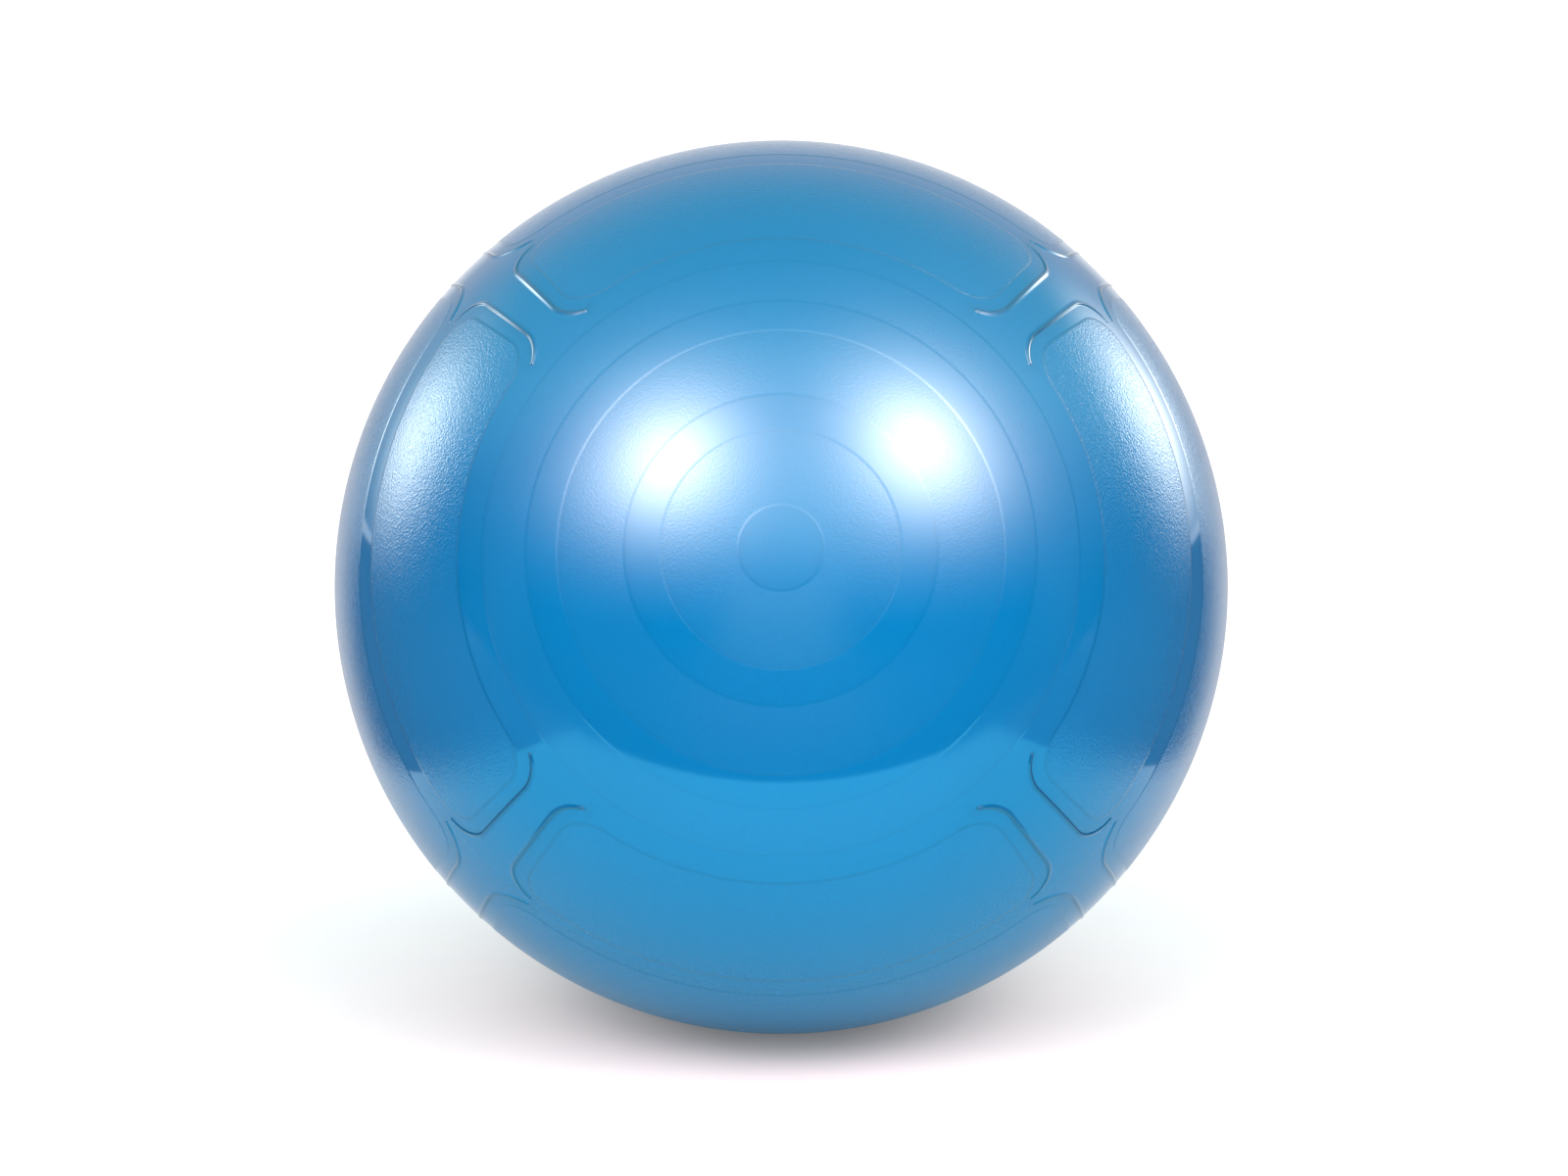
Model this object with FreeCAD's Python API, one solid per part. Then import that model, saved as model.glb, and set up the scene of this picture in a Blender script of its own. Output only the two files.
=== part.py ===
"""Inflated exercise ball: a moulded vinyl skin, its valve seat and its valve plug.

Lengths are in millimetres and angles in degrees. The ball is built about the axis of its moulded
pattern, with its centre at the origin, the front pole on +Z and the panels centred on X and Y.
It is then tipped so that the front pole looks along -Y and a little up, and stood on its contact
patch: the finished part has its origin in the middle of that flat patch, with +Z up.
"""
import FreeCAD, Part
import math
import os

from FreeCAD import Vector

# The skin
BALL_RADIUS = 325.0
WALL = 1.0
PATCH_RADIUS = 34.0          # the weight of the ball flattens this much of it against the floor
LEAN = 13.5                  # how far the front pole is tipped up from level

# The moulded pattern: polar angles are counted from a pole, and the rear repeats the front
SECTORS = 4
WEB_MIDDLE = 45.0            # azimuth of the first web, halfway between two panels
MEDALLION = 38.0             # a slightly raised disc about each pole
BANDS = ((0.0, 5.0), (14.1, 18.5), (27.1, 31.5))    # raised again: a boss, and a ring outside a ring
BAND_RISE = 0.25
STEP_WIDTH = 1.2             # every step of the disc and its bands slopes over this width
RING_PANEL = (42.05, 60.9)   # polar angles of the inner and outer edge
RING_PANEL_SIDE = 5.8        # azimuth from the middle of a web to the panel's side
BELT_PANEL = (64.9, 115.1)
BELT_PANEL_SIDE = 5.2
PANEL_RISE = 0.3             # the medallion stands as high as the panels
PANEL_CORNER = 14.0

# The ridges that frame the webs: half-round cords, sunk a little into the skin
RIDGE_RADIUS = 1.5
RIDGE_SINK = 0.4
RING_RIDGE_RUN = (45.5, 57.0)      # polar angles between which the ridge follows a meridian
RING_RIDGE_SIDE = 3.15             # azimuth from the middle of the web
RING_RIDGE_HOOK = (41.0, 6.8)      # polar angle and azimuth of its inner end
RING_RIDGE_FOOT = (61.4, 7.7)      # the same for its outer end
BELT_RIDGE_RUN = (70.0, 110.0)
BELT_RIDGE_SIDE = 3.0
BELT_RIDGE_HOOK = (63.2, 7.9)

# The valve, at the rear pole: radii, and distances from the ball's centre along its axis
NECK_RADIUS = 10.0
LIP_TOP = 326.0
LIP_ROUND = 0.5
FLANGE_RADIUS = 18.0
FLANGE_THICKNESS = 1.6
BARREL_RADIUS = 8.5
BARREL_END = 308.0
BARREL_CHAMFER = 1.0
HEAD_POCKET_RADIUS = 8.2
HEAD_POCKET_FLOOR = 323.9
BORE_RADIUS = 5.0
BORE_LEAD_IN = 0.6

HEAD_RADIUS = 8.0
HEAD_GAP = 0.05              # between the head and the floor of its pocket
HEAD_EDGE_TOP = 325.7
HEAD_CROWN = 0.4
SHANK_RADIUS = 4.75
SHANK_STRAIGHT_END = 308.5
SHANK_TIP = 304.5
SHANK_TIP_RADIUS = 3.6
SEAL_RIB_RADIUS = 4.95
SEAL_RIB_HALF_WIDTH = 0.8
SEAL_RIBS = (318.5, 315.0, 311.5)
CORE_RADIUS = 2.7
CORE_END = 321.5

X_AXIS = Vector(1, 0, 0)
Z_AXIS = Vector(0, 0, 1)
CENTRE = Vector(0, 0, 0)
FLAT_DISTANCE = math.sqrt((BALL_RADIUS + PANEL_RISE) ** 2 - PATCH_RADIUS ** 2)


def on_sphere(polar, azimuth=0.0, radius=BALL_RADIUS):
    """The point at a polar angle from the front pole and an azimuth about it."""
    tilt, turn = math.radians(polar), math.radians(azimuth)
    across = radius * math.sin(tilt)
    return Vector(across * math.cos(turn), across * math.sin(turn), radius * math.cos(tilt))


def sphere_arc(start, end, radius=BALL_RADIUS):
    """An arc of the half section, from one polar angle to another."""
    points = [on_sphere(polar, radius=radius) for polar in (start, (start + end) / 2, end)]
    return Part.Arc(*points).toShape()


def line(start, end):
    return Part.LineSegment(start, end).toShape()


def full_turn(edges):
    """The solid swept by a closed half section turning once about the pattern's axis."""
    return Part.Face(Part.Wire(edges)).revolve(CENTRE, Z_AXIS, 360)


def levels(base):
    """A stepped ball from pole to pole, as (polar angle, polar angle, radius between them)."""
    disc = base + PANEL_RISE
    front = []
    start = 0.0
    for inner, outer in BANDS:
        if inner > start:
            front.append((start, inner, disc))
        front.append((inner, outer, disc + BAND_RISE))
        start = outer
    front.append((start, MEDALLION, disc))
    rear = [(180 - outer, 180 - inner, radius) for inner, outer, radius in reversed(front)]
    return front + [(MEDALLION, 180 - MEDALLION, base)] + rear


def stepped_ball(base):
    """A sphere of the base radius with a stepped medallion about each pole."""
    half_step = math.degrees(STEP_WIDTH / 2 / BALL_RADIUS)
    edges = []
    for inner, outer, radius in levels(base):
        start = inner + half_step if inner > 0 else 0
        end = outer - half_step if outer < 180 else 180
        if edges:
            edges.append(line(step_top, on_sphere(start, radius=radius)))
        edges.append(sphere_arc(start, end, radius))
        step_top = on_sphere(end, radius=radius)
    edges.append(line(step_top, edges[0].Vertexes[0].Point))
    ball = full_turn(edges)
    ball.rotate(CENTRE, Z_AXIS, WEB_MIDDLE)
    return ball


def panel(polar_range, side, azimuth, base):
    """A pad with rounded corners that stands a little proud of the base radius."""
    inner, outer = polar_range
    low, high = base - WALL / 2, base + PANEL_RISE
    section = Part.Face(Part.Wire([
        sphere_arc(inner, outer, low),
        line(on_sphere(outer, radius=low), on_sphere(outer, radius=high)),
        sphere_arc(outer, inner, high),
        line(on_sphere(inner, radius=high), on_sphere(inner, radius=low)),
    ]))
    width = 360 / SECTORS - 2 * side
    section.rotate(CENTRE, Z_AXIS, azimuth - width / 2)
    pad = section.revolve(CENTRE, Z_AXIS, width)
    corners = [edge for edge in pad.Edges if isinstance(edge.Curve, Part.Line)]
    return pad.makeFillet(PANEL_CORNER, corners)


def panels(base):
    """Four ring panels about each pole and four belt panels between them."""
    rear_ring = tuple(180 - polar for polar in reversed(RING_PANEL))
    pads = []
    for sector in range(SECTORS):
        azimuth = sector * 360 / SECTORS
        pads.append(panel(RING_PANEL, RING_PANEL_SIDE, azimuth, base))
        pads.append(panel(BELT_PANEL, BELT_PANEL_SIDE, azimuth, base))
        pads.append(panel(rear_ring, RING_PANEL_SIDE, azimuth, base))
    return pads


def cord_run(start, heading, end):
    """A round cord along the sphere's circle that leaves start along heading and reaches end."""
    normal = heading.cross(end - start).normalize()
    middle = normal * start.dot(normal)
    arm, far_arm = start - middle, end - middle
    sweep = math.degrees(math.atan2(normal.dot(arm.cross(far_arm)), arm.dot(far_arm)))
    disc = Part.Face(Part.Wire(Part.makeCircle(RIDGE_RADIUS, start, heading)))
    return disc.revolve(middle, normal, sweep)


def ridge(run, side, hook, foot, place):
    """A ridge along a meridian whose two ends curl around the corners of its panel.

    place turns a polar angle and an azimuth from the middle of the web into a point.
    """
    first, last = place(run[0], side), place(run[1], side)
    hook_end, foot_end = place(*hook), place(*foot)
    pole = on_sphere(0 if first.z > last.z else 180, radius=first.Length)
    towards_pole = pole - first * (pole.dot(first) / first.dot(first))
    away_from_pole = last * (pole.dot(last) / last.dot(last)) - pole
    pieces = [
        cord_run(first, towards_pole.normalize(), hook_end),
        cord_run(first, towards_pole.negative(), last),
        cord_run(last, away_from_pole.normalize(), foot_end),
    ]
    for end in (hook_end, foot_end):
        pieces.append(Part.makeSphere(RIDGE_RADIUS, end))
    return pieces[0].multiFuse(pieces[1:])


def ridges():
    """A pair of ridges along each web, for the ring panels of both halves and for the belt."""
    belt_foot = (180 - BELT_RIDGE_HOOK[0], BELT_RIDGE_HOOK[1])
    cords = []
    for sector in range(SECTORS):
        web = WEB_MIDDLE + sector * 360 / SECTORS
        for hand in (-1, 1):

            def front(polar, offset):
                return on_sphere(polar, web + hand * offset, BALL_RADIUS - RIDGE_SINK)

            def rear(polar, offset):
                return front(180 - polar, offset)

            for place in (front, rear):
                cords.append(ridge(RING_RIDGE_RUN, RING_RIDGE_SIDE, RING_RIDGE_HOOK, RING_RIDGE_FOOT, place))
            cords.append(ridge(BELT_RIDGE_RUN, BELT_RIDGE_SIDE, BELT_RIDGE_HOOK, belt_foot, front))
    return cords


def below(distance):
    """Everything further down than this from the centre, in the frame of the standing ball."""
    size = 3 * BALL_RADIUS
    return Part.makeBox(size, size, size, Vector(-size / 2, -size / 2, -size - distance))


def stand(shape):
    """Tips a shape from the pattern's own frame to the way the ball stands, still about its centre."""
    shape.rotate(CENTRE, X_AXIS, 90 - LEAN)
    return shape


def ball_shell():
    """The skin: one moulding of even wall, flat at the contact patch, with a hole for the valve.

    The panels and medallions are pressed out of the wall, so the inside follows them. The ridges are solid.
    """
    inner_base = BALL_RADIUS - WALL
    outside = stand(stepped_ball(BALL_RADIUS).multiFuse(panels(BALL_RADIUS) + ridges()))
    inside = stand(stepped_ball(inner_base).multiFuse(panels(inner_base)))
    hole = Part.makeCylinder(NECK_RADIUS, 2 * BALL_RADIUS, CENTRE, Z_AXIS.negative())
    outside = outside.cut(below(FLAT_DISTANCE))
    inside = inside.cut(below(FLAT_DISTANCE - WALL))
    return outside.cut([inside, stand(hole)])


def valve_point(radius, distance):
    """A point of the valve's half section: its radius, and its distance from the ball's centre."""
    return Vector(radius, 0, -distance)


def closed_outline(points):
    corners = [valve_point(*point) for point in points]
    return [line(start, end) for start, end in zip(corners, corners[1:] + corners[:1])]


def valve_seat():
    """The bonded insert: a flange under the skin, a neck through it and a barrel with the bore."""
    under_skin = BALL_RADIUS + PANEL_RISE + BAND_RISE - WALL
    flange_under = under_skin - FLANGE_THICKNESS
    neck_polar = 180 - math.degrees(math.asin(NECK_RADIUS / under_skin))
    rim_polar = 180 - math.degrees(math.asin(FLANGE_RADIUS / under_skin))
    rim_under_polar = 180 - math.degrees(math.asin(FLANGE_RADIUS / flange_under))
    barrel_polar = 180 - math.degrees(math.asin(BARREL_RADIUS / flange_under))
    neck_foot = on_sphere(neck_polar, radius=under_skin)
    rim_top = on_sphere(rim_polar, radius=under_skin)
    rim_foot = on_sphere(rim_under_polar, radius=flange_under)
    barrel_top = on_sphere(barrel_polar, radius=flange_under)
    corners = [
        barrel_top,
        valve_point(BARREL_RADIUS, BARREL_END + BARREL_CHAMFER),
        valve_point(BARREL_RADIUS - BARREL_CHAMFER, BARREL_END),
        valve_point(BORE_RADIUS, BARREL_END),
        valve_point(BORE_RADIUS, HEAD_POCKET_FLOOR - BORE_LEAD_IN),
        valve_point(BORE_RADIUS + BORE_LEAD_IN, HEAD_POCKET_FLOOR),
        valve_point(HEAD_POCKET_RADIUS, HEAD_POCKET_FLOOR),
        valve_point(HEAD_POCKET_RADIUS, LIP_TOP),
        valve_point(NECK_RADIUS - LIP_ROUND, LIP_TOP),
        valve_point(NECK_RADIUS, LIP_TOP - LIP_ROUND),
        neck_foot,
    ]
    edges = [line(start, end) for start, end in zip(corners, corners[1:])]
    edges.append(sphere_arc(neck_polar, rim_polar, under_skin))
    edges.append(line(rim_top, rim_foot))
    edges.append(sphere_arc(rim_under_polar, barrel_polar, flange_under))
    return stand(full_turn(edges))


def valve_plug():
    """The push-in stopper: a crowned head, a shank with sealing ribs, and a hollow core."""
    head_under = HEAD_POCKET_FLOOR + HEAD_GAP
    outline = [(0, HEAD_EDGE_TOP + HEAD_CROWN), (0, CORE_END), (CORE_RADIUS, CORE_END - CORE_RADIUS / 2)]
    outline.append((CORE_RADIUS, SHANK_TIP))
    outline.append((SHANK_TIP_RADIUS, SHANK_TIP))
    outline.append((SHANK_RADIUS, SHANK_STRAIGHT_END))
    for rib in sorted(SEAL_RIBS):
        outline.append((SHANK_RADIUS, rib - SEAL_RIB_HALF_WIDTH))
        outline.append((SEAL_RIB_RADIUS, rib - SEAL_RIB_HALF_WIDTH / 2))
        outline.append((SEAL_RIB_RADIUS, rib + SEAL_RIB_HALF_WIDTH / 2))
        outline.append((SHANK_RADIUS, rib + SEAL_RIB_HALF_WIDTH))
    outline.append((SHANK_RADIUS, head_under))
    outline.append((HEAD_RADIUS, head_under))
    outline.append((HEAD_RADIUS, HEAD_EDGE_TOP))
    crown_radius = (HEAD_RADIUS ** 2 + HEAD_CROWN ** 2) / (2 * HEAD_CROWN)
    half_way = math.asin(HEAD_RADIUS / crown_radius) / 2
    crown_drop = crown_radius * (1 - math.cos(half_way))
    crown = valve_point(0, HEAD_EDGE_TOP + HEAD_CROWN)
    crown_middle = crown + Vector(crown_radius * math.sin(half_way), 0, crown_drop)
    edges = closed_outline(outline)[:-1]
    edges.append(Part.Arc(valve_point(HEAD_RADIUS, HEAD_EDGE_TOP), crown_middle, crown).toShape())
    return stand(full_turn(edges))


def save(name, shape):
    """Moves a shape from the ball's centre to the middle of the contact patch and writes its node."""
    shape.translate(Vector(0, 0, FLAT_DISTANCE))
    solid = shape.Solids[0]
    print(name, "valid", shape.isValid(), "solids", len(shape.Solids), "cm3", round(solid.Volume / 1000, 2))
    solid.exportStep("parts/" + name + ".step")


os.makedirs("parts", exist_ok=True)
save("ball_shell", ball_shell())
save("valve_seat", valve_seat())
save("valve_plug", valve_plug())
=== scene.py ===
"""Looks for the exercise ball: the moulded vinyl skin, the materials, the studio and the camera.

The skin is meshed here from the same pattern as the CAD shell, with softer steps and ridges.
Its lengths are in millimetres and its angles in degrees until the mesh is made.
The rest is in metres.
"""

import math

import bpy
import numpy as np
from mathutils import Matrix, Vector, kdtree
from mathutils.geometry import delaunay_2d_cdt


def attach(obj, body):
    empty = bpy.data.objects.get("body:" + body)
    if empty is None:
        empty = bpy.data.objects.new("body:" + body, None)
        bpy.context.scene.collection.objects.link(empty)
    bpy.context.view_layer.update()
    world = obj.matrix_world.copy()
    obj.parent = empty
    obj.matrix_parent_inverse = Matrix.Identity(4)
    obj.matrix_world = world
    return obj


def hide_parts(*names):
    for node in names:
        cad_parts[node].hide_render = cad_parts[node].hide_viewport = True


# The ball and its pattern: polar angles are counted from a pole, azimuths from a panel's middle
BALL_RADIUS = 325.0
LEAN = 13.5                  # how far the front pole is tipped up from level
WEB = 45.0                   # azimuth of a web's middle
MEDALLION = 38.0
MEDALLION_RISE = 0.15
BANDS = ((0.0, 5.0), (14.1, 18.5), (27.1, 31.5))
BAND_RISE = 0.09
RING_EDGES = [MEDALLION] + [edge for band in BANDS for edge in band if edge > 0]
STEP_WIDTH = 2.4
# Each panel: inner edge, outer edge, side's distance from the web's middle
PANELS = ((42.05, 60.9, 5.8), (64.9, 115.1, 5.2))
PANEL_RISE = 0.22
PANEL_CORNER = 25.0

# The ridges: where each follows a meridian, how far off the web's middle it is, and where its
# ends curl to
RING_RIDGE = {"run": (45.5, 57.0), "side": 3.15, "hook": (41.0, 6.8), "foot": (61.4, 7.7)}
BELT_RIDGE = {"run": (70.0, 90.0), "side": 3.0, "hook": (63.2, 7.9)}
RIDGE_HEIGHT = 0.8
RIDGE_STEEP = 1.6            # half-width on the panel's side, and around the ends
RIDGE_SOFT = 3.2             # half-width on the web's side
RIDGE_FADE = 12.0            # the soft side narrows to the steep one over this much of each end

# The hole for the valve, at the rear pole
HOLE_RADIUS = 10.05
HOLE_ROUND = 0.85
RIM_DEPTH = 1.5
RIM_POLAR = math.degrees(math.asin((HOLE_RADIUS + HOLE_ROUND) / BALL_RADIUS))

# Spacing of the mesh: rows across the steps, across the ridges and around the ridges' ends, then
# the gaps along the edges, the ridges' straight runs and their curls, and the gaps in between
STEP_ROWS = (-2.2, -1.4, -0.9, -0.45, 0.0, 0.45, 0.9, 1.4, 2.2)
RIDGE_ROWS = (-2.8, -2.1, -1.5, -1.0, -0.5, 0.0, 0.5, 1.0, 1.6, 2.3, 3.0, 3.7)
CAP_ROWS = (0.6, 1.1, 1.5, 1.9, 2.4)
EDGE_SPACING = 5.0
RUN_SPACING = 4.5
CURL_SPACING = 2.6
FILL = 9.0

# The flat contact patch is pressed below this height, with this softness
PRESS_BELOW = 12.0
PRESS_SOFT = 0.35

# The vinyl's own colour and index, and the painted highlight (at -1) and painted shade (at 1)
# along the pattern's lines, as factors on that colour
PEARL_BLUE = (0.0, 0.061, 0.152)
PEARL_INDEX = 1.9
PAINTED_LINE_HIGHLIGHT = 1.35            # where the crease is -1
PAINTED_LINE_SHADE = 0.5              # where the crease is 1

# The studio: a white floor, and cards lying on it that only reflections see
FLOOR_TONE = 0.575
FAR = 150.0                  # half the floor's size
CARD_HEIGHT = 0.002
SHEET_FRONT = -0.6
SHEET_SIDES = (-0.6, 0.62)
SHEET_BEND = (0.4, 12.0)     # the card under the ball widens between these distances
SHEET_WIDENS = 9             # by this much on each side
UNDER_BLUE = (0.12, 0.42, 0.52, 1)
UNDER_PALE = (0.45, 0.46, 0.47, 1)
# Painted shadow: this grey behind the ball stands in for the ball's shadow on the floor there,
# seen in reflections
UNDER_PAINTED_SHADOW = (0.36, 0.36, 0.36, 1)

# The air: a bright wall behind, a bright patch above, and round lights. Each light has an
# azimuth, an elevation, a spread and a strength
WALL_LIGHT = 1.0
ABOVE_LIGHT = 0.72
HOT_LIGHTS = ((-38, 38, 15, 6.0), (-33, 38, 10, 6.0), (46, 40, 15, 6.0), (44, 40, 10, 6.0),
              (-35, 38, 5, 4.0), (45, 41, 5, 4.0))
SOFT_LIGHTS = ((3, 32, 27, 1.8), (-85, 30, 24, 0.35), (85, 30, 24, 0.6))
SIDE_LIGHTS = ((-122, 15, 7, 8.0), (131, 15, 7, 8.0))

# The lamps: each has a name, a place, a tilt and turn, a size and a power
FILLS = (("fill_front", (0.0, -3.4, 0.15), (90, 0), 1.6, 310.0),
         ("fill_below", (0.0, -0.85, 0.03), (135, 0), 0.6, 5.0),
         ("fill_left", (-2.5, -0.8, 0.3), (90, -72), 0.8, 20.0),
         ("fill_right", (2.5, -0.8, 0.3), (90, 72), 0.8, 20.0))

CENTRE_HEIGHT = 323.518      # of the ball on its flat patch

CAMERA_LENS = 91.7
CAMERA_DISTANCE = 2.925
CAMERA_ELEVATION = 9
CAMERA_ASIDE = (0.002, 0, -0.0007)


# -------- points and curves on the sphere

def direction(polar, azimuth):
    """Unit vectors at these polar angles and azimuths."""
    polar, azimuth = np.broadcast_arrays(np.radians(polar), np.radians(azimuth))
    across = np.sin(polar)
    return np.stack([across * np.cos(azimuth), across * np.sin(azimuth), np.cos(polar)], -1)


def arc_degrees(length):
    return np.degrees(np.asarray(length) / BALL_RADIUS)


def unit(vector):
    return vector / np.linalg.norm(vector, axis=-1, keepdims=True)


class Circle:
    """Part of a circle on the sphere.

    Its axis lies on the panel's side, so offsets away from it go to the web.
    """

    def __init__(self, axis, start, end):
        self.axis = axis
        self.polar = math.acos(np.clip(axis @ start, -1, 1))
        self.arm = unit(start - axis * (axis @ start))
        self.cross = np.cross(axis, self.arm)
        self.sweep = math.atan2(end @ self.cross, end @ self.arm)
        self.start, self.end = start, end
        self.length = abs(self.sweep) * math.sin(self.polar) * BALL_RADIUS

    def points(self, turns, offset):
        """Points at these shares of the sweep, moved sideways by offset."""
        turn = np.asarray(turns)[:, None] * self.sweep
        arm = self.arm * np.cos(turn) + self.cross * np.sin(turn)
        polar = self.polar + offset / BALL_RADIUS
        return self.axis * math.cos(polar) + arm * math.sin(polar)

    def measure(self, points):
        """Signed distance (positive to the web) and share of the sweep, for each point."""
        away = points @ self.axis
        across = np.arccos(np.clip(away, -1, 1)) - self.polar
        share = np.arctan2(points @ self.cross, points @ self.arm) / self.sweep
        return across * BALL_RADIUS, share


def ridge_circles(shape):
    """The hook, the run and the foot of a ridge as circles, each with the end that is free."""
    near = WEB - shape["side"]
    first, last = direction(shape["run"][0], near), direction(shape["run"][1], near)
    pole = np.array([0.0, 0.0, 1.0])
    meridian = -direction(90, near + 90)
    circles = []
    for name, joint, to_pole in (("hook", first, 1), ("foot", last, -1)):
        if name in shape:
            polar, offset = shape[name]
            end = direction(polar, WEB - offset)
            heading = unit(pole - joint * (pole @ joint)) * to_pole
            axis = unit(np.cross(heading, end - joint))
            circles.append(Circle(axis if axis @ joint > 0 else -axis, joint, end))
    return circles, Circle(meridian, first, last)


# -------- the height of the skin over the sphere

def smooth_inside(distance, width):
    t = np.clip(0.5 - distance / width, 0, 1)
    return t * t * (3 - 2 * t)


def panel_distance(polar, azimuth, inner, outer, side):
    """Distance outside a panel's rounded outline, negative inside it."""
    along = BALL_RADIUS * np.radians(np.maximum(inner - polar, polar - outer)) + PANEL_CORNER
    turn = np.sin(np.radians(azimuth - (WEB - side))) * np.sin(np.radians(polar))
    across = BALL_RADIUS * np.arcsin(np.clip(turn, -1, 1)) + PANEL_CORNER
    outside = np.hypot(np.maximum(along, 0), np.maximum(across, 0))
    return np.minimum(np.maximum(along, across), 0) + outside - PANEL_CORNER


def ridge_distance(points, shape):
    """Distance from a ridge's crest, positive on the web's side, and how near a free end it is.

    The second is 0 at a free end and 1 from RIDGE_FADE on.
    """
    circles, run = ridge_circles(shape)
    nearest = np.full(len(points), 1e9)
    signed = np.zeros(len(points))
    fade = np.ones(len(points))
    for circle in [run] + circles:
        across, share = circle.measure(points)
        held = np.clip(share, 0, 1)
        if circle is run and "foot" not in shape:
            held = np.where(share > 1, share, held)
        on_end = np.linalg.norm(points - circle.end, axis=1)
        on_start = np.linalg.norm(points - circle.start, axis=1)
        distance = np.where(held == share, np.abs(across),
                            BALL_RADIUS * np.where(share > 0.5, on_end, on_start))
        better = distance < nearest
        nearest = np.where(better, distance, nearest)
        signed = np.where(better, np.sign(across) * distance, signed)
        if circle is not run:
            left = (1 - held) * circle.length / RIDGE_FADE
            fade = np.where(better, np.clip(left, 0, 1), fade)
        else:
            fade = np.where(better, 1.0, fade)
    return signed, fade


def ridge_height(points, shape):
    """A bead with a steep side towards the panel and a soft side towards the web."""
    signed, fade = ridge_distance(points, shape)
    soft = RIDGE_STEEP + (RIDGE_SOFT - RIDGE_STEEP) * fade * fade * (3 - 2 * fade)
    reach = np.where(signed > 0, soft, RIDGE_STEEP)
    return RIDGE_HEIGHT * 0.5 * (1 + np.cos(np.pi * np.clip(np.abs(signed) / reach, 0, 1)))


def folded(points):
    """The same places in the one sixteenth of the sphere that the whole pattern is made of."""
    x, y, z = np.abs(points).T
    return np.stack([np.maximum(x, y), np.minimum(x, y), z], -1)


def located(points):
    """The folded places of these unit vectors, with their polar angles and azimuths."""
    place = folded(points)
    polar = np.degrees(np.arccos(np.clip(place[:, 2], -1, 1)))
    azimuth = np.degrees(np.arctan2(place[:, 1], place[:, 0]))
    return place, polar, azimuth


def height(points):
    """How far the skin stands over the ball's radius at these unit vectors."""
    place, polar, azimuth = located(points)

    def within(edge_distance):
        return smooth_inside(edge_distance, STEP_WIDTH)

    rise = MEDALLION_RISE * within(BALL_RADIUS * np.radians(polar - MEDALLION))
    for inner, outer in BANDS:
        past_inner = within(BALL_RADIUS * np.radians(inner - polar)) if inner else 1.0
        rise = rise + BAND_RISE * past_inner * within(BALL_RADIUS * np.radians(polar - outer))
    for inner, outer, side in PANELS:
        rise = rise + PANEL_RISE * within(panel_distance(polar, azimuth, inner, outer, side))
    near_web = azimuth > 30
    for shape in (RING_RIDGE, BELT_RIDGE):
        rise[near_web] += ridge_height(place[near_web], shape)
    return rise


def painted_shade_and_highlight(points):
    """Painted shade and painted highlight along the pattern's lines, at these unit vectors.

    It is 1 along the ridges, the deepest painted shade; less along the panels' edges and on the
    pole's side of the ring edges; and 0 elsewhere. Below 0, on the other side of the ring edges,
    it is a painted highlight.
    """
    place, polar, azimuth = located(points)
    painted_shading = np.zeros(len(points))
    for edge in RING_EDGES:
        away = BALL_RADIUS * np.radians(polar - edge)
        painted_shading += (0.25 * np.exp(-((away + 1.0) / 0.9) ** 2)
                 - 0.45 * np.exp(-((away - 0.6) / 1.1) ** 2))
    for inner, outer, side in PANELS:
        away = panel_distance(polar, azimuth, inner, outer, side)
        painted_shading += 0.45 * np.exp(-(away / 1.3) ** 2)
    for shape in (RING_RIDGE, BELT_RIDGE):
        signed, _ = ridge_distance(place, shape)
        painted_shading = np.maximum(painted_shading, np.exp(-((signed + 0.2) / 1.9) ** 2))
    return painted_shading


def normals(points):
    """Unit normals of the skin, from the slope of its height."""
    helper = np.where(np.abs(points[:, 2:]) < 0.9, [[0, 0, 1.0]], [[1.0, 0, 0]])
    east = unit(np.cross(helper, points))
    north = np.cross(points, east)
    reach = 0.05 / BALL_RADIUS
    slope = []
    for side in (east, north):
        ahead = height(unit(points + side * reach))
        behind = height(unit(points - side * reach))
        slope.append(((ahead - behind) / 0.1)[:, None])
    return unit(points - slope[0] * east - slope[1] * north)


# -------- the net of one sixteenth of the sphere

class Net:
    """Points and the lines between them, to be filled with triangles."""

    def __init__(self):
        self.points, self.lines = [], []

    def row(self, points):
        first = len(self.points)
        self.points.extend(points)
        self.lines.extend((i, i + 1) for i in range(first, len(self.points) - 1))


def panel_row(inner, outer, side, offset):
    """A line around a panel at a distance from its edge, from one middle line to the next."""
    corner = PANEL_CORNER

    def place(along, across, edge, outward):
        polar = edge + outward * arc_degrees(along)
        sine = np.sin(np.asarray(across) / BALL_RADIUS) / np.sin(np.radians(polar))
        return polar, WEB - side + np.degrees(np.arcsin(sine))

    def edge_line(edge, outward):
        polar, end = place(offset, -corner, edge, outward)
        length = BALL_RADIUS * math.radians(WEB - side) * math.sin(math.radians(edge))
        return direction(polar, np.linspace(0, end, max(2, round(length / EDGE_SPACING))))

    def corner_line(edge, outward):
        turn = np.radians(np.linspace(0, 90, 9))
        polar, azimuth = place(-corner + (corner + offset) * np.cos(turn),
                               -corner + (corner + offset) * np.sin(turn), edge, outward)
        return direction(polar, azimuth)

    start = inner + float(arc_degrees(corner))
    end = outer - float(arc_degrees(corner)) if outer < 90 else 90.0
    count = max(2, round(BALL_RADIUS * math.radians(end - start) / EDGE_SPACING))
    polar = np.linspace(start, end, count)
    _, azimuth = place(0, offset, polar, 0)
    parts = [edge_line(inner, -1), corner_line(inner, -1), direction(polar, azimuth)]
    if outer < 90:
        parts += [corner_line(outer, 1)[::-1], edge_line(outer, 1)[::-1]]
    line = [parts[0][0]]
    for part in parts:
        line += [p for p in part if np.linalg.norm(p - line[-1]) > 1e-5]
    return line


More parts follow.
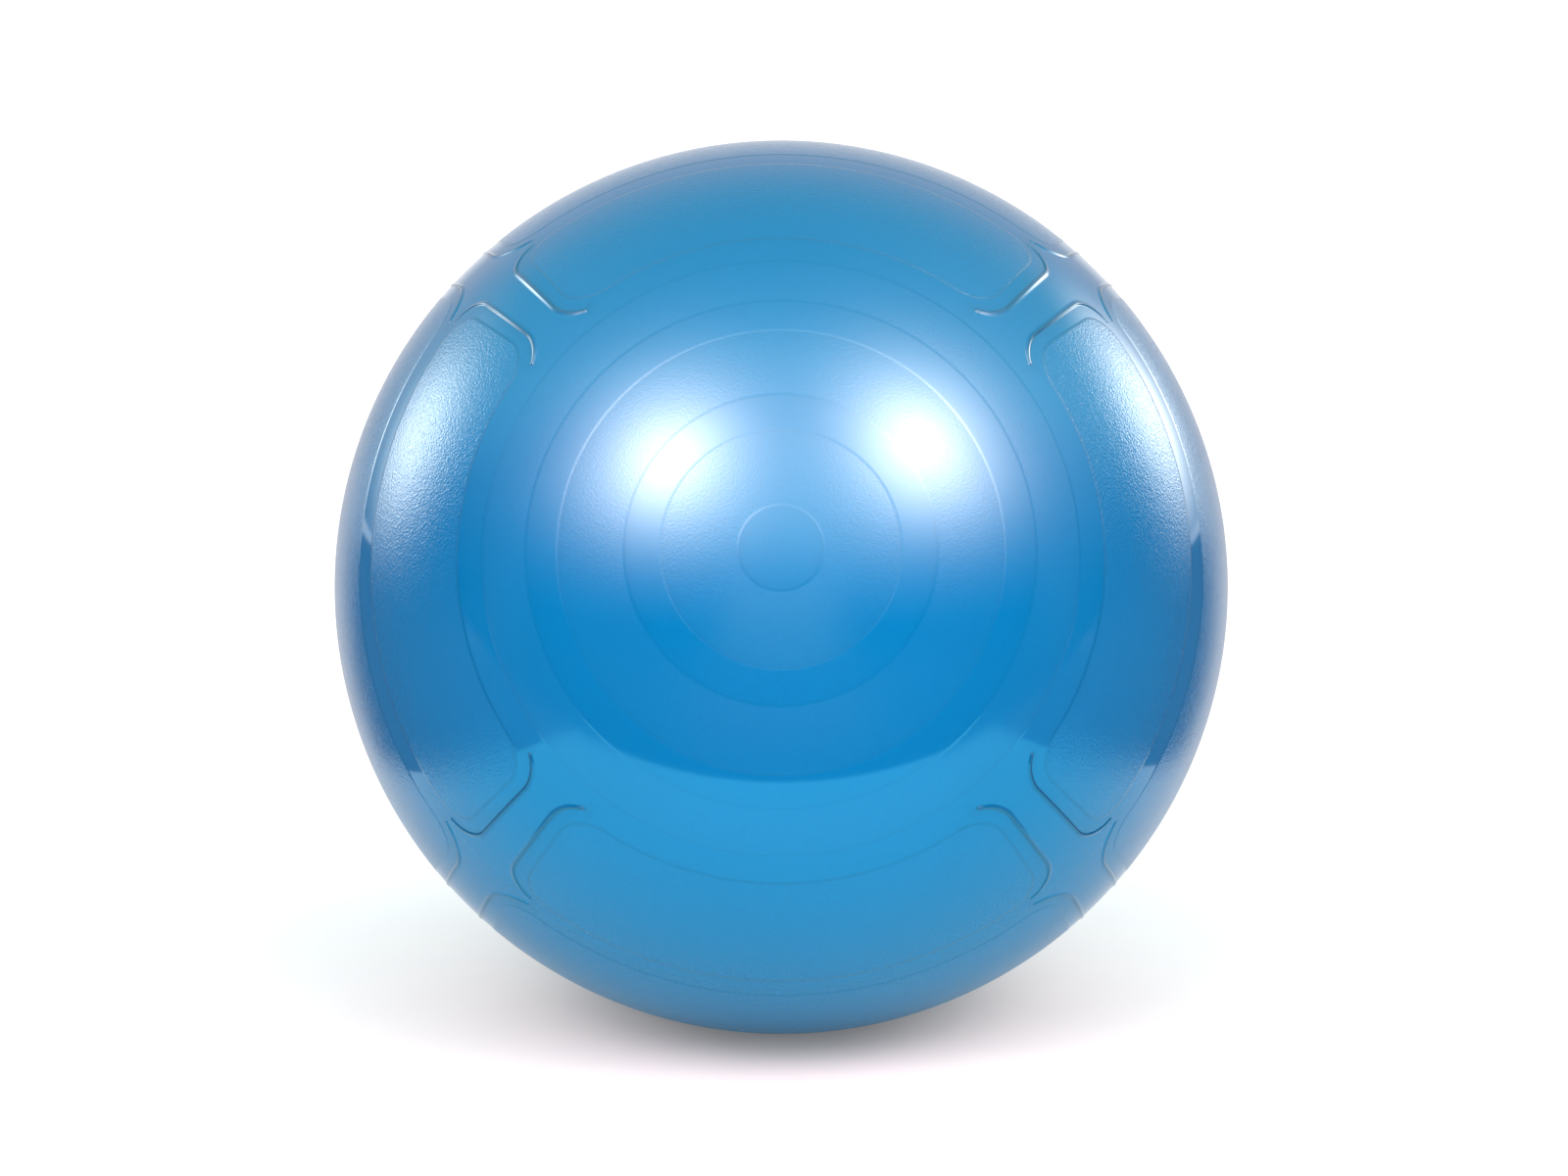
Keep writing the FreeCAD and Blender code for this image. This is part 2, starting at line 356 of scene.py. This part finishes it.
def wedge_net():
    """Rows of points along every step and ridge in the sixteenth."""
    net = Net()
    for polar in RING_EDGES:
        around = BALL_RADIUS * math.sin(math.radians(polar)) * math.radians(WEB)
        stations = np.linspace(0, WEB, max(8, round(around / EDGE_SPACING)))
        for offset in STEP_ROWS:
            net.row(direction(polar + arc_degrees(offset), stations))
    net.row(direction(RIM_POLAR, np.linspace(0, WEB, 9)))
    for inner, outer, side in PANELS:
        for offset in STEP_ROWS:
            net.row(panel_row(inner, outer, side, offset))
    for shape in (RING_RIDGE, BELT_RIDGE):
        circles, run = ridge_circles(shape)
        for offset in RIDGE_ROWS:
            for circle, spacing in [(c, CURL_SPACING) for c in circles] + [(run, RUN_SPACING)]:
                count = max(3, round(circle.length / spacing))
                net.row(circle.points(np.linspace(0, 1, count + 1), offset))
        for circle in circles:
            end = circle.end
            ahead = unit(circle.points([1.0], 0)[0] - circle.points([0.98], 0)[0])
            aside = np.cross(end, ahead)
            for reach in CAP_ROWS:
                turn = np.radians(np.linspace(-75, 75, 6))[:, None]
                outward = np.cos(turn) * ahead + np.sin(turn) * aside
                net.row(unit(end + reach / BALL_RADIUS * outward))
    return net


def border_points(net, key, on_border, to_point, low, high):
    """The net's points on one border, with more where they are far apart, joined into a line."""
    here = sorted([(key(p), i) for i, p in enumerate(net.points) if on_border(p)])
    ends = [(low, to_point(low)), (high, to_point(high))]
    line = [(place, net.points[i]) for place, i in here]
    line += [end for end in ends if min(abs(end[0] - place) for place, _ in line) > 1e-3]
    line.sort(key=lambda pair: pair[0])
    kept = [line[0]]
    for place, point in line[1:]:
        gap = BALL_RADIUS * math.radians(place - kept[-1][0])
        if gap < 0.02:
            continue
        parts = math.ceil(gap / FILL)
        start = kept[-1][0]
        for k in range(1, parts):
            between = start + (place - start) * k / parts
            kept.append((between, to_point(between)))
        kept.append((place, point))
    net.row([point for _, point in kept])


def snapped(points):
    """Points on the wedge's three borders put exactly on them."""
    points = np.array(points)
    x, y, z = points.T
    y = np.where(np.abs(y) < 2e-6, 0, y)
    z = np.where(np.abs(z) < 2e-6, 0, z)
    middle = (x + y) / 2
    on_web = np.abs(x - y) < 3e-6
    return np.stack([np.where(on_web, middle, x), np.where(on_web, middle, y), z], -1)


def wedge_triangles():
    """Unit vectors and triangles of the sixteenth.

    It lies between a panel's middle, a web's middle and the equator.
    """
    net = wedge_net()
    net.points = list(snapped(net.points))

    def polar_of(p):
        return math.degrees(math.acos(max(-1.0, min(1.0, p[2]))))

    def azimuth_of(p):
        return math.degrees(math.atan2(p[1], p[0]))

    border_points(net, polar_of, lambda p: p[1] == 0,
                  lambda t: direction(t, 0.0), RIM_POLAR, 90.0)
    border_points(net, polar_of, lambda p: p[0] == p[1],
                  lambda t: direction(t, WEB), RIM_POLAR, 90.0)
    border_points(net, azimuth_of, lambda p: p[2] == 0,
                  lambda t: direction(90.0, t), 0.0, WEB)
    net.points = list(snapped(net.points))

    taken = kdtree.KDTree(len(net.points))
    for i, p in enumerate(net.points):
        taken.insert(p * BALL_RADIUS, i)
    taken.balance()
    step = float(arc_degrees(FILL * 0.866))
    for row, polar in enumerate(np.arange(RIM_POLAR + step, 90 - step / 2, step)):
        spacing = float(arc_degrees(FILL)) / math.sin(math.radians(polar))
        first = spacing * (0.5 if row % 2 else 1.0)
        for azimuth in np.arange(first, WEB - spacing * 0.4, spacing):
            p = direction(polar, azimuth)
            if taken.find(p * BALL_RADIUS)[2] > 0.55 * FILL:
                net.points.append(p)

    points = snapped(net.points)
    flat = 2 * BALL_RADIUS * points[:, :2] / (1 + points[:, 2:])
    found, _, faces, sources, _, _ = delaunay_2d_cdt(
        [Vector(p) for p in flat], net.lines, [], 1, 2e-3)
    made = np.empty((len(found), 3))
    for i, (p, source) in enumerate(zip(found, sources)):
        if source:
            made[i] = points[source[0]]
        else:
            r = p.length / (2 * BALL_RADIUS)
            made[i] = [2 * r / (1 + r * r) * p.x / p.length, 2 * r / (1 + r * r) * p.y / p.length,
                       (1 - r * r) / (1 + r * r)]
    return snapped(made), np.array([f for f in faces if len(f) == 3])


# -------- the whole skin

def whole_sphere():
    """Sixteen mirrored copies of the wedge, with their shared borders joined."""
    wedge, faces = wedge_triangles()
    points, triangles = [], []
    for mirror in (1, -1):
        for quarter in range(4):
            for rear in (1, -1):
                x, y, z = wedge[:, 0], wedge[:, 1] * mirror, wedge[:, 2] * rear
                for _ in range(quarter):
                    x, y = -y, x
                triangles.append(faces + sum(len(p) for p in points))
                points.append(np.stack([x, y, z], -1))
    points = np.round(np.concatenate(points), 9) + 0.0
    triangles = np.concatenate(triangles)
    points, index = np.unique(points, axis=0, return_inverse=True)
    triangles = index.reshape(-1)[triangles]
    a, b, c = (points[triangles[:, k]] for k in range(3))
    area = np.einsum("ij,ij->i", np.cross(b - a, c - a), a + b + c)
    triangles[area < 0] = triangles[area < 0][:, ::-1]
    return points, triangles[np.abs(area) > 1e-12]


def stand(points):
    """Points or normals turned from the pattern's frame to the standing ball's."""
    turn = math.radians(90 - LEAN)
    x, y, z = points.T
    return np.stack([x, y * math.cos(turn) - z * math.sin(turn),
                     y * math.sin(turn) + z * math.cos(turn)], -1)


def rim_order(points, front):
    """The ring of points around a pole's hole, in turn about the axis."""
    side = points[:, 2] if front else -points[:, 2]
    polar = np.degrees(np.arccos(np.clip(side, -1, 1)))
    ring = np.where(np.abs(polar - RIM_POLAR) < 1e-3)[0]
    return ring[np.argsort(np.arctan2(points[ring, 1], points[ring, 0]))]


def skin_mesh():
    """The skin's points, normals, painted shading values and triangles, in the pattern's frame."""
    unit_points, triangles = whole_sphere()
    rise = height(unit_points)
    painted_shading = painted_shade_and_highlight(unit_points)
    facing = normals(unit_points)
    points = unit_points * (BALL_RADIUS + rise)[:, None]
    triangles = triangles.tolist()

    # The front pole is closed by a fan
    ring = rim_order(unit_points, True)
    pole = len(points)
    points = np.vstack([points, [0, 0, BALL_RADIUS + MEDALLION_RISE + BAND_RISE]])
    facing = np.vstack([facing, [0, 0, 1]])
    painted_shading = np.append(painted_shading, 0.0)
    triangles += [[ring[i - 1], ring[i], pole] for i in range(len(ring))]

    # The rear hole's edge rolls in and goes down beside the valve's neck
    ring = rim_order(unit_points, False)
    around = unit(points[ring] * [1, 1, 0])
    level = points[ring][0, 2]
    profile = [(HOLE_RADIUS + HOLE_ROUND * (1 - math.sin(t)), HOLE_ROUND * (1 - math.cos(t)),
                math.cos(t), math.sin(t))
               for t in np.radians([22.5, 45, 67.5, 90])]
    profile.append((HOLE_RADIUS, RIM_DEPTH, 0.0, 1.0))
    before = list(ring)
    for radius, depth, outward, inward in profile:
        here = np.stack([around[:, 0] * radius, around[:, 1] * radius,
                         np.full(len(ring), level + depth)], -1)
        start = len(points)
        points = np.vstack([points, here])
        facing = np.vstack([facing, np.array([0, 0, -outward]) - around * inward])
        now = list(range(start, start + len(ring)))
        for i in range(len(ring)):
            triangles.append([before[i], before[i - 1], now[i - 1]])
            triangles.append([before[i], now[i - 1], now[i]])
        before = now
    painted_shading = np.append(painted_shading, np.zeros(len(points) - len(painted_shading)))
    return points, facing, painted_shading, np.array(triangles)


def finish_of(points):
    """0 for the glossy webs and bands, 1 for the medallions' satin, 2 for the grained panels."""
    _, polar, azimuth = located(unit(points))
    finish = np.where(polar < MEDALLION, 1, 0)
    for inner, outer in BANDS:
        finish[(polar >= inner) & (polar < outer)] = 0
    for inner, outer, side in PANELS:
        finish[panel_distance(polar, azimuth, inner, outer, side) < 0] = 2
    return finish


def make_skin(materials):
    """The skin as an object, standing on the floor."""
    points, facing, painted_shading, triangles = skin_mesh()
    finish = finish_of(points[triangles].mean(1))
    placed, facing = stand(points), stand(facing)
    placed[:, 2] += CENTRE_HEIGHT
    # The contact patch: heights below the floor are pressed flat
    z = placed[:, 2].copy()
    root = np.sqrt(z * z + PRESS_SOFT ** 2)
    slope = 0.5 * (1 + z / root)
    placed[:, 2] = np.where(z < PRESS_BELOW, 0.5 * (z + root), z)
    slope = np.where(z < PRESS_BELOW, slope, 1.0)[:, None]
    facing = unit(facing * np.hstack([slope, slope, np.ones_like(slope)]))

    mesh = bpy.data.meshes.new("ball_skin")
    mesh.from_pydata((placed / 1000).tolist(), [], triangles.tolist())
    for material in materials:
        mesh.materials.append(material)
    mesh.polygons.foreach_set("material_index", finish.astype(np.int32))
    mesh.polygons.foreach_set("use_smooth", np.ones(len(mesh.polygons), bool))
    mesh.update()
    mesh.normals_split_custom_set_from_vertices(facing.tolist())
    # The painted shade and painted highlight along the pattern's lines, kept on each point for the
    # vinyl's colour
    depth = mesh.attributes.new("painted_shade_and_highlight", "FLOAT", "POINT")
    depth.data.foreach_set("value", painted_shading.astype(np.float32))
    skin = bpy.data.objects.new("ball_skin", mesh)
    bpy.context.scene.collection.objects.link(skin)
    return skin


# -------- materials

def node(tree, kind, inputs=(), **settings):
    """A new node with these settings. Inputs that are sockets are linked, and others are set."""
    made = tree.nodes.new(kind)
    for name, value in settings.items():
        setattr(made, name, value)
    for name, value in dict(inputs).items():
        socket = made.inputs[name]
        if isinstance(value, bpy.types.NodeSocket):
            tree.links.new(value, socket)
        else:
            socket.default_value = value
    return made


def sum_of(tree, operation, *values):
    """A chain of maths nodes over sockets and numbers."""
    total = values[0]
    for value in values[1:]:
        step = node(tree, "ShaderNodeMath", {0: total, 1: value}, operation=operation)
        total = step.outputs["Value"]
    return total


def product(tree, *values):
    return sum_of(tree, "MULTIPLY", *values)


def map_range(tree, value, low, high, start=0.0, end=1.0, **settings):
    """The value moved from low...high to start...end."""
    return node(tree, "ShaderNodeMapRange", {
        "Value": value, "From Min": low, "From Max": high, "To Min": start, "To Max": end},
        **settings).outputs["Result"]


def ramp(tree, value, low, high, start=0.0):
    """Start below low, 1 above high, smooth in between."""
    return map_range(tree, value, low, high, start, interpolation_type="SMOOTHSTEP")


def blend(tree, factor, first, second):
    """A mix of two colours, either of which may be a socket."""
    return node(tree, "ShaderNodeMix", {"Factor": factor, "A": first, "B": second},
                data_type="RGBA").outputs["Result"]


def shades(colour, low, high):
    """A darker and a lighter shade of a colour, with alpha."""
    return (*[low * c for c in colour], 1), (*[high * c for c in colour], 1)


def noise(tree, place, scale, detail, distortion=0.0):
    return node(tree, "ShaderNodeTexNoise", {
        "Vector": place, "Scale": scale, "Detail": detail,
        "Distortion": distortion}).outputs["Fac"]


def bump(tree, height_value, distance, **inputs):
    return node(tree, "ShaderNodeBump", {
        "Height": height_value, "Distance": distance, "Strength": 1.0, **inputs}).outputs["Normal"]


def new_material(name):
    material = bpy.data.materials.new(name)
    material.use_nodes = True
    tree = material.node_tree
    tree.nodes.clear()
    output = tree.nodes.new("ShaderNodeOutputMaterial")
    return material, tree, output


def shown(tree, output, shader, normal=None):
    """The shader, with its bumped normal if it has one, wired to the material's output."""
    if normal is not None:
        tree.links.new(normal, shader.inputs["Normal"])
    tree.links.new(shader.outputs["BSDF"], output.inputs["Surface"])


def pearl_vinyl(name, roughness, grain, ripple):
    """Pearlescent blue vinyl. Grain and ripple are its fine and broad unevenness, in metres."""
    material, tree, output = new_material(name)
    place = node(tree, "ShaderNodeTexCoord").outputs["Object"]
    pigment = blend(tree, noise(tree, place, 7.0, 3.0, 0.6), *shades(PEARL_BLUE, 0.94, 1.06))
    fleck = node(tree, "ShaderNodeTexVoronoi", {"Vector": place, "Scale": 480.0}).outputs["Color"]
    # Painted shade along the ridges and lines and painted highlight beside the ring edges, as
    # factors on the pigment; the fleck is a random tone
    line = node(tree, "ShaderNodeAttribute", attribute_name="painted_shade_and_highlight").outputs["Fac"]
    shade = product(tree, map_range(tree, fleck, 0.0, 1.0, 0.97, 1.03),
                    map_range(tree, line, -1.0, 1.0, PAINTED_LINE_HIGHLIGHT, PAINTED_LINE_SHADE))
    colour = node(tree, "ShaderNodeVectorMath", {0: pigment, 1: shade}, operation="MULTIPLY")
    shader = node(tree, "ShaderNodeBsdfPrincipled", {
        "Base Color": colour.outputs["Vector"], "Metallic": 0.0, "Roughness": roughness,
        "IOR": PEARL_INDEX, "Specular Tint": (0.72, 0.97, 1.0, 1),
        "Sheen Weight": 0.02, "Sheen Roughness": 0.5, "Sheen Tint": (0.3, 0.4, 1.0, 1)})
    broad = bump(tree, noise(tree, place, 38.0, 1.0), ripple)
    shown(tree, output, shader, bump(tree, noise(tree, place, 600.0, 2.0), grain, Normal=broad))
    return material


def moulded_plastic(name, colour, roughness, grain):
    """Plain moulded plastic with a slight unevenness of colour and surface."""
    material, tree, output = new_material(name)
    place = node(tree, "ShaderNodeTexCoord").outputs["Object"]
    tint = blend(tree, noise(tree, place, 90.0, 4.0), *shades(colour, 0.94, 1.0))
    shader = node(tree, "ShaderNodeBsdfPrincipled", {
        "Base Color": tint, "Roughness": roughness, "IOR": 1.5})
    shown(tree, output, shader, bump(tree, noise(tree, place, 1200.0, 3.0), grain))
    return material


# -------- the studio

def sheet(name, outline, height_above, material):
    """A flat polygon facing up, its corners in turn seen from above."""
    mesh = bpy.data.meshes.new(name)
    mesh.from_pydata([(x, y, height_above) for x, y in outline], [], [range(len(outline))])
    mesh.materials.append(material)
    made = bpy.data.objects.new(name, mesh)
    bpy.context.scene.collection.objects.link(made)
    return made


def plain(name, colour):
    """A matt material. The colour is a triple, or a function from a node tree to a socket."""
    material, tree, output = new_material(name)
    base = colour(tree) if callable(colour) else (*colour, 1)
    shown(tree, output, node(tree, "ShaderNodeBsdfPrincipled", {
        "Base Color": base, "Roughness": 0.8, "Specular IOR Level": 0.0}))
    return material


def under_colour(tree):
    """The card under the ball: bluer in front, pale under the middle, and grey behind it, a
    painted shadow of the ball on the floor there.
    """
    place = node(tree, "ShaderNodeTexCoord").outputs["Object"]
    depth = node(tree, "ShaderNodeSeparateXYZ", {"Vector": place}).outputs["Y"]
    near = blend(tree, ramp(tree, depth, -0.35, 0.3), UNDER_BLUE, UNDER_PALE)
    # Painted shadow: the card turns grey behind the ball
    return blend(tree, ramp(tree, depth, 0.3, 0.8), near, UNDER_PAINTED_SHADOW)


def glow(tree, ray, azimuth, elevation, spread, strength):
    """A soft round light far away: azimuth from -Y towards +X, and its spread, in degrees."""
    turn, rise = math.radians(azimuth), math.radians(elevation)
    toward = (math.sin(turn) * math.cos(rise), -math.cos(turn) * math.cos(rise), math.sin(rise))
    along = node(tree, "ShaderNodeVectorMath", {0: ray, 1: toward}, operation="DOT_PRODUCT")
    sharpness = 1 / math.radians(spread) ** 2
    power = node(tree, "ShaderNodeMath", {
        0: along.outputs["Value"], 1: sharpness, 2: -sharpness}, operation="MULTIPLY_ADD")
    falloff = node(tree, "ShaderNodeMath", {0: power.outputs["Value"]}, operation="EXPONENT")
    return product(tree, falloff.outputs["Value"], strength)


def glows(tree, ray, lights):
    return sum_of(tree, "ADD", *[glow(tree, ray, *light) for light in lights])


def floor_and_cards():
    """The floor, and the dark, dim and coloured surroundings that only reflections see."""
    sheet("floor", [(-FAR, -FAR), (FAR, -FAR), (FAR, FAR), (-FAR, FAR)], 0.0,
          plain("floor_white", (FLOOR_TONE,) * 3))
    dark = plain("card_dark", (0.01, 0.01, 0.01))
    dim = plain("card_dim", (0.05, 0.05, 0.05))
    under = plain("card_cool_painted_shadow", under_colour)
    front, (left, right), (near, far) = SHEET_FRONT, SHEET_SIDES, SHEET_BEND
    left_far, right_far = left - SHEET_WIDENS, right + SHEET_WIDENS
    for name, outline, material in (
            ("card_front", [(-FAR, -FAR), (FAR, -FAR), (FAR, front), (-FAR, front)], dark),
            ("card_left", [(-FAR, front), (left, front), (left, near), (left_far, far),
                           (-FAR, far)], dim),
            ("card_right", [(FAR, front), (FAR, far), (right_far, far), (right, near),
                            (right, front)], dim),
            ("card_under", [(left, front), (right, front), (right, near), (right_far, far),
                            (right_far, FAR), (left_far, FAR), (left_far, far), (left, near)],
             under)):
        card = sheet(name, outline, CARD_HEIGHT, material)
        card.visible_camera = card.visible_shadow = card.visible_diffuse = False


def lamps():
    """Lamps that the gloss doesn't show. They even out the light on the front, sides and base."""
    for name, place, (tilt, turn), size, power in FILLS:
        fill = bpy.data.lights.new(name, "AREA")
        fill.energy = power
        fill.size = size
        lamp = bpy.data.objects.new(name, fill)
        lamp.location = place
        lamp.rotation_euler = (math.radians(tilt), 0, math.radians(turn))
        lamp.visible_glossy = lamp.visible_camera = False
        bpy.context.scene.collection.objects.link(lamp)


def air():
    """The world: the wall behind, the patch above and the lights, each with its own balance."""
    world = bpy.data.worlds.new("studio_air")
    bpy.context.scene.world = world
    world.use_nodes = True
    tree = world.node_tree
    tree.nodes.clear()
    ray = node(tree, "ShaderNodeTexCoord").outputs["Generated"]
    parts = node(tree, "ShaderNodeSeparateXYZ", {"Vector": ray}).outputs
    leaning = sum_of(tree, "ADD", product(tree, parts["Y"], 0.55), product(tree, parts["Z"], 0.84))
    back = sum_of(tree, "MAXIMUM", product(tree, ramp(tree, parts["Y"], 0.84, 0.98), WALL_LIGHT),
                  product(tree, ramp(tree, leaning, 0.25, 0.6), ABOVE_LIGHT))
    raised = ramp(tree, parts["Z"], -0.12, 0.5)
    hot = product(tree, raised, glows(tree, ray, HOT_LIGHTS))
    soft = product(tree, raised, glows(tree, ray, SOFT_LIGHTS))
    side = glows(tree, ray, SIDE_LIGHTS)
    cool = ramp(tree, parts["Y"], 0.5, 0.93, 0.35)
    red = sum_of(tree, "ADD", product(tree, back, cool), product(tree, hot, 1.12),
                 product(tree, soft, 0.8), product(tree, side, 1.1))
    rest = sum_of(tree, "ADD", back, product(tree, hot, 0.84), soft, side)
    tint = node(tree, "ShaderNodeCombineColor", {"Red": red, "Green": rest, "Blue": rest})
    backdrop = node(tree, "ShaderNodeBackground", {"Color": tint.outputs["Color"]})
    out = tree.nodes.new("ShaderNodeOutputWorld")
    tree.links.new(backdrop.outputs["Background"], out.inputs["Surface"])


def camera(centre):
    """A long lens in front of the ball, looking slightly down at its centre."""
    data = bpy.data.cameras.new("camera")
    data.sensor_width = 36.0
    data.lens = CAMERA_LENS
    made = bpy.data.objects.new("camera", data)
    elevation = math.radians(CAMERA_ELEVATION)
    toward = Vector((0, -math.cos(elevation), math.sin(elevation)))
    made.location = centre + Vector(CAMERA_ASIDE) + toward * CAMERA_DISTANCE
    made.rotation_euler = toward.to_track_quat("Z", "Y").to_euler()
    bpy.context.scene.collection.objects.link(made)
    bpy.context.scene.camera = made


# -------- the scene

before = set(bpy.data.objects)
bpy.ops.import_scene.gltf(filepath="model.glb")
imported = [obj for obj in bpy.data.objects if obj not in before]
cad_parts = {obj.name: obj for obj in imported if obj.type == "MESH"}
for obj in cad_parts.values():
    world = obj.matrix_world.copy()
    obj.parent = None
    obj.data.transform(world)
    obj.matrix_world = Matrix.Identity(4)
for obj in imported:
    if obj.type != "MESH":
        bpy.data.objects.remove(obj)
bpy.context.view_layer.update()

skin = make_skin([
    pearl_vinyl("pearl_gloss", 0.08, 0.0, 6e-6),
    pearl_vinyl("pearl_satin", 0.14, 6e-5, 4e-6),
    pearl_vinyl("pearl_grain", 0.14, 3.1e-4, 4e-6),
])
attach(skin, "ball")
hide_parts("ball_shell")

for name, material in (
        ("valve_seat", moulded_plastic("seat_vinyl", (0.02, 0.17, 0.42), 0.42, 1.5e-5)),
        ("valve_plug", moulded_plastic("plug_plastic", (0.62, 0.66, 0.70), 0.35, 8e-6))):
    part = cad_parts[name]
    part.data.materials.clear()
    part.data.materials.append(material)

floor_and_cards()
lamps()
air()
camera(Vector((0, 0, CENTRE_HEIGHT / 1000)))
bpy.context.scene.view_settings.view_transform = "Standard"
